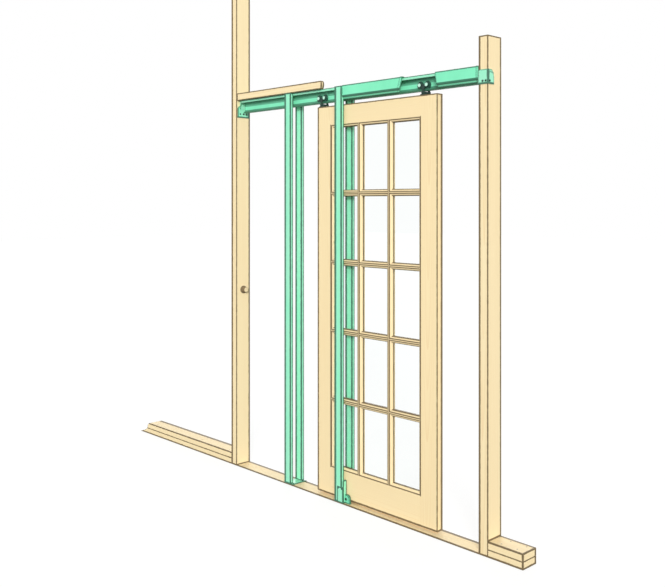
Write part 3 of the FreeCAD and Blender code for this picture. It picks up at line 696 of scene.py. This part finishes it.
def clear_glass():
    """Clear float glass that lets lamps through."""
    made, tree, coordinates = new_material("door_glass")
    wave = noise(tree, coordinates, GLASS_WAVE_SIZE, detail=1.0)
    skin = add(
        tree,
        "ShaderNodeBsdfPrincipled",
        {
            "Base Color": GLASS_TINT,
            "Roughness": 0.0,
            "IOR": 1.45,
            "Transmission Weight": 1.0,
            "Normal": bump(tree, wave, strength=0.05, distance=1.0 * MM),
        },
    )
    through = add(tree, "ShaderNodeBsdfTransparent", {"Color": GLASS_TINT})
    path = add(tree, "ShaderNodeLightPath").outputs
    straight = most(tree, path["Is Shadow Ray"], path["Is Diffuse Ray"])
    both = add(tree, "ShaderNodeMixShader", {0: straight, 1: skin.outputs[0], 2: through.outputs[0]})
    add(tree, "ShaderNodeOutputMaterial", {"Surface": both.outputs[0]})
    return made


# Partly painted light: the head takes the paler mint so that its lip, which the nailing strip shades,
# reads light
head_steel = green_steel("head_steel", PALE_MINT, MINT, SMALL_REACH, head_lines, TRACK_HEAD_LINE_SHARE)
header_steel = green_steel("header_steel", MINT, MINT_DEEP, HEADER_REACH, header_lines)
hanger_steel = painted_steel(
    "hanger_steel", HANGER_BLACK, HANGER_GREEN, HANGER_BLACK, line_share=0.3, roughness=0.45
)
screw_steel = painted_steel(
    "screw_steel", SCREW_DARK, HANGER_BLACK, HANGER_BLACK, line_share=0.2, roughness=0.4
)
nail_steel = painted_steel(
    "nail_steel", NAIL_GREY, TIMBER_LATE, TIMBER_LINE, line_share=0.6, roughness=0.4
)
cap_mint = painted_steel("cap_mint", CAP_MINT, MINT, MINT_LINE, line_share=0.15, roughness=0.35)
guide_plastic = moulded(
    "guide_plastic", GUIDE_GREEN, MINT_DEEP, roughness=0.5, reach=GUIDE_REACH, lines=guide_lines
)
wheel_nylon = moulded("wheel_nylon", WHEEL_GREEN, WHEEL_DEEP, roughness=0.4)

# Smoothing and softened arrises
SHARP_FROM = math.radians(32)
ARRIS_FROM = math.radians(40)
FLAT_WITHIN = math.radians(0.5)
JOIN_WITHIN = 0.005 * MM
BOARD_ARRIS = 1.5 * MM
STILE_ARRIS = 1.2 * MM
SHEET_ARRIS = 0.4 * MM


def smoothing_tree():
    """Joins a piece's triangles and shades its rounds smooth, up to an angle."""
    tree, given, result = new_group(
        "smooth_rounds",
        [("Geometry", "NodeSocketGeometry", None), ("Sharp From", "NodeSocketFloat", SHARP_FROM)],
        ["Geometry"],
        "GeometryNodeTree",
        "NodeSocketGeometry",
    )
    inputs = {"Geometry": given["Geometry"], "Name": "custom_normal"}
    plain = add(tree, "GeometryNodeRemoveAttribute", inputs).outputs[0]
    inputs = {"Geometry": plain, "Distance": JOIN_WITHIN}
    joined = add(tree, "GeometryNodeMergeByDistance", inputs).outputs[0]
    inputs = {"Geometry": joined, "Shade Smooth": True}
    smooth = add(tree, "GeometryNodeSetShadeSmooth", inputs, domain="FACE").outputs[0]
    angle = add(tree, "GeometryNodeInputMeshEdgeAngle").outputs["Unsigned Angle"]
    inputs = {0: angle, 1: given["Sharp From"]}
    sharp = add(tree, "FunctionNodeCompare", inputs, operation="GREATER_THAN").outputs[0]
    inputs = {"Geometry": smooth, "Selection": sharp, "Shade Smooth": False}
    edged = add(tree, "GeometryNodeSetShadeSmooth", inputs, domain="EDGE").outputs[0]
    tree.links.new(edged, result["Geometry"])
    return tree


SMOOTHING = smoothing_tree()


def softened(node, width):
    """Takes the knife edge off a piece's arrises."""
    edge = nodes[node].modifiers.new("arris", "BEVEL")
    edge.width = width
    edge.segments = 2
    edge.limit_method = "ANGLE"
    edge.angle_limit = ARRIS_FROM
    edge.harden_normals = True


def dressed(node, material):
    """Gives a piece its finish and smooth rounds, and joins the triangles of its flats."""
    piece = nodes[node]
    piece.data.materials.clear()
    piece.data.materials.append(material)
    piece.modifiers.new("rounds", "NODES").node_group = SMOOTHING
    flats = piece.modifiers.new("flats", "DECIMATE")
    flats.decimate_type = "DISSOLVE"
    flats.angle_limit = FLAT_WITHIN


for number, name in enumerate(UPRIGHT_TIMBER + LEVEL_TIMBER):
    dressed(name, timber(name, name in LEVEL_TIMBER, number))
for number, name in enumerate(UPRIGHT_DOOR + LEVEL_DOOR):
    dressed(name, timber(name, name in LEVEL_DOOR, number, door=True))
for name in SPLIT_STUDS:
    dressed(name, bordered_steel(name, SMALL_REACH, STUD_LINE, STUD_MORE))
for name in BRACKETS:
    dressed(name, bordered_steel(name, BRACKET_REACH, BRACKET_LINE))
for name in SHOES:
    dressed(name, green_steel(f"{name}_steel", PALE_MINT, MINT, BRACKET_REACH, shoe_lines))
for names, finish in (
    (["track_head"], head_steel),
    (HEADER, header_steel),
    (GUIDES, guide_plastic),
    (HANGERS, hanger_steel),
    (WHEELS, wheel_nylon),
    (["bumper"], bumper_rubber()),
    (["glass_panes"], clear_glass()),
):
    for name in names:
        dressed(name, finish)

for name in UPRIGHT_TIMBER + LEVEL_TIMBER:
    softened(name, BOARD_ARRIS)
for name in STILES:
    softened(name, STILE_ARRIS)
for name in ["track_head"] + HEADER + SPLIT_STUDS + BRACKETS + SHOES + GUIDES:
    softened(name, SHEET_ARRIS)

# Shape of the fasteners' heads: shares of their own radius and height, and counts
HEAD_TOP = 0.35
HEAD_RINGS = 4
SLOT_LENGTH = 1.15
SLOT_WIDTH = 0.26
WASHER_SIDES = 20
WASHER_TOP = 0.94
WASHER_HEIGHT = 0.3


def heads_tree():
    """Screw, bolt, nail and cap heads: one shape, set on every point and turned to its facing."""
    tree, given, result = new_group(
        "heads",
        [
            ("Geometry", "NodeSocketGeometry", None),
            ("Sides", "NodeSocketInt", 16),
            ("Radius", "NodeSocketFloat", 4.5 * MM),
            ("Height", "NodeSocketFloat", 2.2 * MM),
            ("Crown", "NodeSocketFloat", 1.1),
            ("Recess", "NodeSocketBool", False),
            ("Washer", "NodeSocketFloat", 0.0),
            ("Seed", "NodeSocketInt", 7),
            ("Finish", "NodeSocketMaterial", None),
        ],
        ["Geometry"],
        "GeometryNodeTree",
        "NodeSocketGeometry",
    )
    radius = given["Radius"]
    height = given["Height"]
    # Domed head
    inputs = {
        "Vertices": given["Sides"],
        "Side Segments": HEAD_RINGS,
        "Radius Top": times(tree, radius, HEAD_TOP),
        "Radius Bottom": radius,
        "Depth": height,
    }
    blank = add(tree, "GeometryNodeMeshCone", inputs).outputs["Mesh"]
    at = axes_of(tree, add(tree, "GeometryNodeInputPosition").outputs[0])
    rise = maths(tree, "DIVIDE", at["Z"], height)
    round_in = maths(tree, "COSINE", times(tree, rise, given["Crown"]))
    plain_in = less(tree, 1.0, times(tree, rise, 1.0 - HEAD_TOP))
    widen = maths(tree, "DIVIDE", round_in, plain_in)
    domed = times(tree, height, maths(tree, "SINE", times(tree, rise, math.pi / 2)))
    moved = vector_of(tree, times(tree, at["X"], widen), times(tree, at["Y"], widen), domed)
    head = add(tree, "GeometryNodeSetPosition", {"Geometry": blank, "Position": moved}).outputs[0]
    # Cross recess
    slot_length = times(tree, radius, SLOT_LENGTH)
    slot_width = times(tree, radius, SLOT_WIDTH)
    cut = add(tree, "GeometryNodeMeshBoolean", {"Mesh 1": head}, operation="DIFFERENCE")
    lift = vector_of(tree, 0.0, 0.0, height)
    for along, across in ((slot_length, slot_width), (slot_width, slot_length)):
        size = vector_of(tree, along, across, height)
        bar = add(tree, "GeometryNodeMeshCube", {"Size": size}).outputs["Mesh"]
        raised = add(tree, "GeometryNodeTransform", {"Geometry": bar, "Translation": lift}).outputs[0]
        tree.links.new(raised, cut.inputs["Mesh 2"])
    inputs = {"Switch": given["Recess"], "False": head, "True": cut.outputs[0]}
    chosen = add(tree, "GeometryNodeSwitch", inputs, input_type="GEOMETRY").outputs[0]
    # Washer
    inputs = {
        "Vertices": WASHER_SIDES,
        "Radius Top": times(tree, given["Washer"], WASHER_TOP),
        "Radius Bottom": given["Washer"],
        "Depth": times(tree, height, WASHER_HEIGHT),
    }
    disc = add(tree, "GeometryNodeMeshCone", inputs).outputs["Mesh"]
    inputs = {"Switch": maths(tree, "GREATER_THAN", given["Washer"], 0.0), "True": disc}
    under = add(tree, "GeometryNodeSwitch", inputs, input_type="GEOMETRY").outputs[0]
    whole = add(tree, "GeometryNodeJoinGeometry")
    tree.links.new(chosen, whole.inputs[0])
    tree.links.new(under, whole.inputs[0])
    # Set on the points, each with its own turn
    inputs = {"Name": "facing"}
    facing = add(tree, "GeometryNodeInputNamedAttribute", inputs, data_type="FLOAT_VECTOR").outputs[0]
    stand = add(tree, "FunctionNodeAlignRotationToVector", {"Vector": facing}, axis="Z").outputs[0]
    inputs = {"Min": 0.0, "Max": math.tau, "Seed": given["Seed"]}
    spin = add(tree, "FunctionNodeRandomValue", inputs, data_type="FLOAT")
    spin_value = [socket for socket in spin.outputs if socket.enabled][0]
    spin_by = vector_of(tree, 0.0, 0.0, spin_value)
    spun = add(tree, "FunctionNodeEulerToRotation", {0: spin_by}).outputs[0]
    inputs = {"Rotation": stand, "Rotate By": spun}
    turned = add(tree, "FunctionNodeRotateRotation", inputs, rotation_space="LOCAL").outputs[0]
    inputs = {"Points": given["Geometry"], "Instance": whole.outputs[0], "Rotation": turned}
    placed = add(tree, "GeometryNodeInstanceOnPoints", inputs).outputs[0]
    real = add(tree, "GeometryNodeRealizeInstances", {"Geometry": placed}).outputs[0]
    inputs = {"Geometry": real, "Material": given["Finish"]}
    painted = add(tree, "GeometryNodeSetMaterial", inputs).outputs[0]
    tree.links.new(painted, result["Geometry"])
    return tree


HEADS = heads_tree()


def heads(name, body, slot, places, finish, **sizes):
    """Sets heads on places, each a point in millimetres and the way it faces, as one plain mesh."""
    mesh = bpy.data.meshes.new(name)
    mesh.from_pydata([Vector(point) * MM for point, way in places], [], [])
    facing = mesh.attributes.new("facing", "FLOAT_VECTOR", "POINT")
    facing.data.foreach_set("vector", [value for point, way in places for value in way])
    piece = bpy.data.objects.new(name, mesh)
    bpy.context.scene.collection.objects.link(piece)
    modifier = piece.modifiers.new("heads", "NODES")
    modifier.node_group = HEADS
    wanted = dict(sizes, Finish=finish)
    for socket in HEADS.interface.items_tree:
        if socket.in_out == "INPUT" and socket.name in wanted:
            modifier[socket.identifier] = wanted[socket.name]
    bpy.context.view_layer.update()
    made = bpy.data.meshes.new_from_object(piece.evaluated_get(bpy.context.evaluated_depsgraph_get()))
    piece.modifiers.remove(modifier)
    piece.data = made
    piece.data.name = name
    bpy.data.meshes.remove(mesh)
    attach(piece, body)


def corner(node, side):
    """A node's lowest or highest corner in millimetres."""
    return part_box(node)[side] / MM


RIGHT = (1, 0, 0)
UP = (0, 0, 1)
FRONT = (0, -1, 0)
BACK = (0, 1, 0)

# Where the fasteners sit, in millimetres from the pieces that they hold
LEFT_PLATE_SHEET = 2.5
LEFT_PLATE_ROW = 22.0
LEFT_PLATE_ACROSS = (-24, 0, 24)
SADDLE_ROW = 14.0
SADDLE_ALONG = (23, 40)
SADDLE_SIDE_ACROSS = -41
LEFT_ARM_ALONG = (42, 88)
RIGHT_ARM_ALONG = (44.5, 90.5)
ARM_ACROSS = (-15, 15)
FOOT_IN = 13.5
FOOT_TOP = 8.5
FOOT_ACROSS = (-34, 34)
SHOE_SCREWS_ALONG = (8, 34)
SHOE_SCREW_HEIGHT = 79
HANGER_SHEET = 3.0
HANGER_SCREW_IN = 6
BOLT_IN = 8
BOLT_HEIGHT = 28
NAIL_ACROSS = 26
LEFT_NAILS = (-75, -360, -640)
LEFT_NAIL_IN = 90
LEFT_NAIL_SHIFT = -18
RIGHT_NAIL_FROM_STUD = 55
RIGHT_NAIL_IN = 45
RIGHT_NAIL_SHIFT = 12

# Screws of the end brackets, the floor bracket and the shoes
left_plate = corner("left_stud", 1).x + LEFT_PLATE_SHEET
plate_row = corner("left_end_bracket", 0).z + LEFT_PLATE_ROW
bracket_top = corner("left_end_bracket", 1).z
saddle_low = corner("right_end_bracket", 0)
saddle_side = corner("right_end_bracket", 1).x
saddle_row = saddle_low.z + SADDLE_ROW
right_stud_x = corner("right_stud", 0).x
foot_row = corner("pocket_foot_bracket", 1).x - FOOT_IN
shoe_face = corner("jamb_shoe_back", 1).y
shoe_left = corner("jamb_stud_front", 0).x + SHOE_SET / MM
screw_places = [((left_plate, y, plate_row), RIGHT) for y in LEFT_PLATE_ACROSS]
screw_places += [((right_stud_x + along, saddle_low.y, saddle_row), FRONT) for along in SADDLE_ALONG]
screw_places += [((saddle_side, SADDLE_SIDE_ACROSS, saddle_row), RIGHT)]
arm_rows = [left_plate + along for along in LEFT_ARM_ALONG]
arm_rows += [right_stud_x - along for along in RIGHT_ARM_ALONG]
for x in arm_rows:
    screw_places += [((x, y, bracket_top), UP) for y in ARM_ACROSS]
screw_places += [((foot_row, y, FOOT_TOP), UP) for y in FOOT_ACROSS]
for along in SHOE_SCREWS_ALONG:
    screw_places += [((shoe_left + along, -shoe_face, SHOE_SCREW_HEIGHT), FRONT)]
    screw_places += [((shoe_left + along, shoe_face, SHOE_SCREW_HEIGHT), BACK)]
heads(
    "frame_screws", "frame", "hanger_steel", screw_places, screw_steel,
    Radius=4.6 * MM, Height=2.2 * MM, Recess=True,
)

# Screws of the hanger plates, and the caps on the wheel pins
plate_screws = []
cap_places = []
for place in ("left", "right"):
    low = corner(f"{place}_hanger_plate", 0)
    high = corner(f"{place}_hanger_plate", 1)
    for x in (low.x + HANGER_SCREW_IN, high.x - HANGER_SCREW_IN):
        plate_screws += [((x, 0, low.z + HANGER_SHEET), UP)]
    pin_end = corner(f"{place}_hanger_yoke", 1).y
    for number in (1, 2):
        wheel = f"{place}_hanger_front_wheel_{number}"
        middle = (corner(wheel, 0) + corner(wheel, 1)) / 2
        cap_places += [((middle.x, -pin_end, middle.z), FRONT), ((middle.x, pin_end, middle.z), BACK)]
heads(
    "hanger_screws", "door", "hanger_steel", plate_screws, screw_steel,
    Radius=3.6 * MM, Height=1.8 * MM, Recess=True,
)
heads("hanger_pin_caps", "door", "green_steel", cap_places, cap_mint, Radius=9.0 * MM, Height=0.8 * MM)

# Bolts that hold the door guides
bolt_x = corner("door_guide_front", 0).x + BOLT_IN
guide_out = corner("door_guide_back", 1).y
bolt_places = [((bolt_x, -guide_out, BOLT_HEIGHT), FRONT), ((bolt_x, guide_out, BOLT_HEIGHT), BACK)]
heads(
    "guide_bolts", "frame", "hanger_steel", bolt_places, screw_steel,
    Sides=6, Radius=5.0 * MM, Height=3.2 * MM, Crown=0.75, Washer=7.0 * MM,
)

# Nails of the timber
plate_left = corner("left_sole_plate_upper", 0).x
plate_top = corner("left_sole_plate_upper", 1).z
plate_end = corner("right_sole_plate_upper", 1).x
stud_right = corner("right_stud", 1).x
nail_rows = [(x, LEFT_NAIL_SHIFT) for x in LEFT_NAILS + (plate_left + LEFT_NAIL_IN,)]
nail_rows += [(stud_right + RIGHT_NAIL_FROM_STUD, RIGHT_NAIL_SHIFT)]
nail_rows += [(plate_end - RIGHT_NAIL_IN, RIGHT_NAIL_SHIFT)]
nail_places = []
for x, shift in nail_rows:
    nail_places += [((x, -NAIL_ACROSS, plate_top), UP), ((x + shift, NAIL_ACROSS, plate_top), UP)]
heads(
    "frame_nails", "frame", "hanger_steel", nail_places, nail_steel,
    Radius=3.4 * MM, Height=0.5 * MM, Crown=0.9,
)

# Floor, light and camera
FLOOR_HALF = 30.0
FLOOR_DROP = 0.5 * MM
FLOOR_GREY = (0.24, 0.24, 0.24, 1)
FLOOR_GLOW = 0.81
ROOM_LIGHT = 0.55
WHITE = (1, 1, 1, 1)
NO_BOUNCE = 0.5
LAMP_AWAY = 6
scene = bpy.context.scene
scene.view_settings.view_transform = "Standard"


def seen_rays(tree):
    """One for rays that show the backdrop itself, nothing for those that light the object."""
    path = add(tree, "ShaderNodeLightPath").outputs
    shown = most(tree, path["Is Camera Ray"], path["Is Glossy Ray"], path["Is Transmission Ray"])
    return times(tree, shown, maths(tree, "LESS_THAN", path["Diffuse Depth"], NO_BOUNCE))


floor_mesh = bpy.data.meshes.new("floor")
quarters = ((-1, -1), (1, -1), (1, 1), (-1, 1))
floor_corners = [(x * FLOOR_HALF, y * FLOOR_HALF, -FLOOR_DROP) for x, y in quarters]
floor_mesh.from_pydata(floor_corners, [], [(0, 1, 2, 3)])
floor = bpy.data.objects.new("floor", floor_mesh)
scene.collection.objects.link(floor)
floor_look = bpy.data.materials.new("floor_white")
floor_look.use_nodes = True
floor_tree = floor_look.node_tree
floor_tree.nodes.clear()
matt = add(floor_tree, "ShaderNodeBsdfDiffuse", {"Color": FLOOR_GREY})
glow_strength = times(floor_tree, seen_rays(floor_tree), FLOOR_GLOW)
glow = add(floor_tree, "ShaderNodeEmission", {"Color": WHITE, "Strength": glow_strength})
floor_sum = add(floor_tree, "ShaderNodeAddShader", {0: matt.outputs[0], 1: glow.outputs[0]})
add(floor_tree, "ShaderNodeOutputMaterial", {"Surface": floor_sum.outputs[0]})
floor_mesh.materials.append(floor_look)

studio = bpy.data.worlds.new("studio")
studio.use_nodes = True
scene.world = studio
room_tree = studio.node_tree
room_tree.nodes.clear()
room_strength = remap(room_tree, seen_rays(room_tree), 0.0, 1.0, ROOM_LIGHT, 1.0)
room = add(room_tree, "ShaderNodeBackground", {"Color": WHITE, "Strength": room_strength})
add(room_tree, "ShaderNodeOutputWorld", {"Surface": room.outputs[0]})


def sun(name, towards, energy, softness):
    """A soft distant lamp that panes don't show. Towards points from the object to the lamp."""
    lamp = bpy.data.lights.new(name, "SUN")
    lamp.energy = energy
    lamp.angle = math.radians(softness)
    hung = bpy.data.objects.new(name, lamp)
    hung.rotation_mode = "QUATERNION"
    hung.rotation_quaternion = (-Vector(towards)).to_track_quat("-Z", "Y")
    hung.location = Vector(towards) * LAMP_AWAY
    hung.visible_transmission = False
    scene.collection.objects.link(hung)


sun("key_light", (0.70, -0.66, 0.30), energy=2.42, softness=14)
sun("fill_light", (0.62, -0.78, 0.04), energy=0.75, softness=20)
sun("back_light", (-0.62, 0.70, 0.17), energy=2.1, softness=40)

lens = bpy.data.cameras.new("photo_camera")
lens.sensor_fit = "HORIZONTAL"
lens.sensor_width = 36.0
lens.lens = 46.146
lens.shift_y = -0.1357
camera = bpy.data.objects.new("photo_camera", lens)
camera.location = (4.0473, -3.1002, 1.5444)
camera.rotation_euler = (math.radians(90), 0, math.radians(46.404))
scene.collection.objects.link(camera)
scene.camera = camera
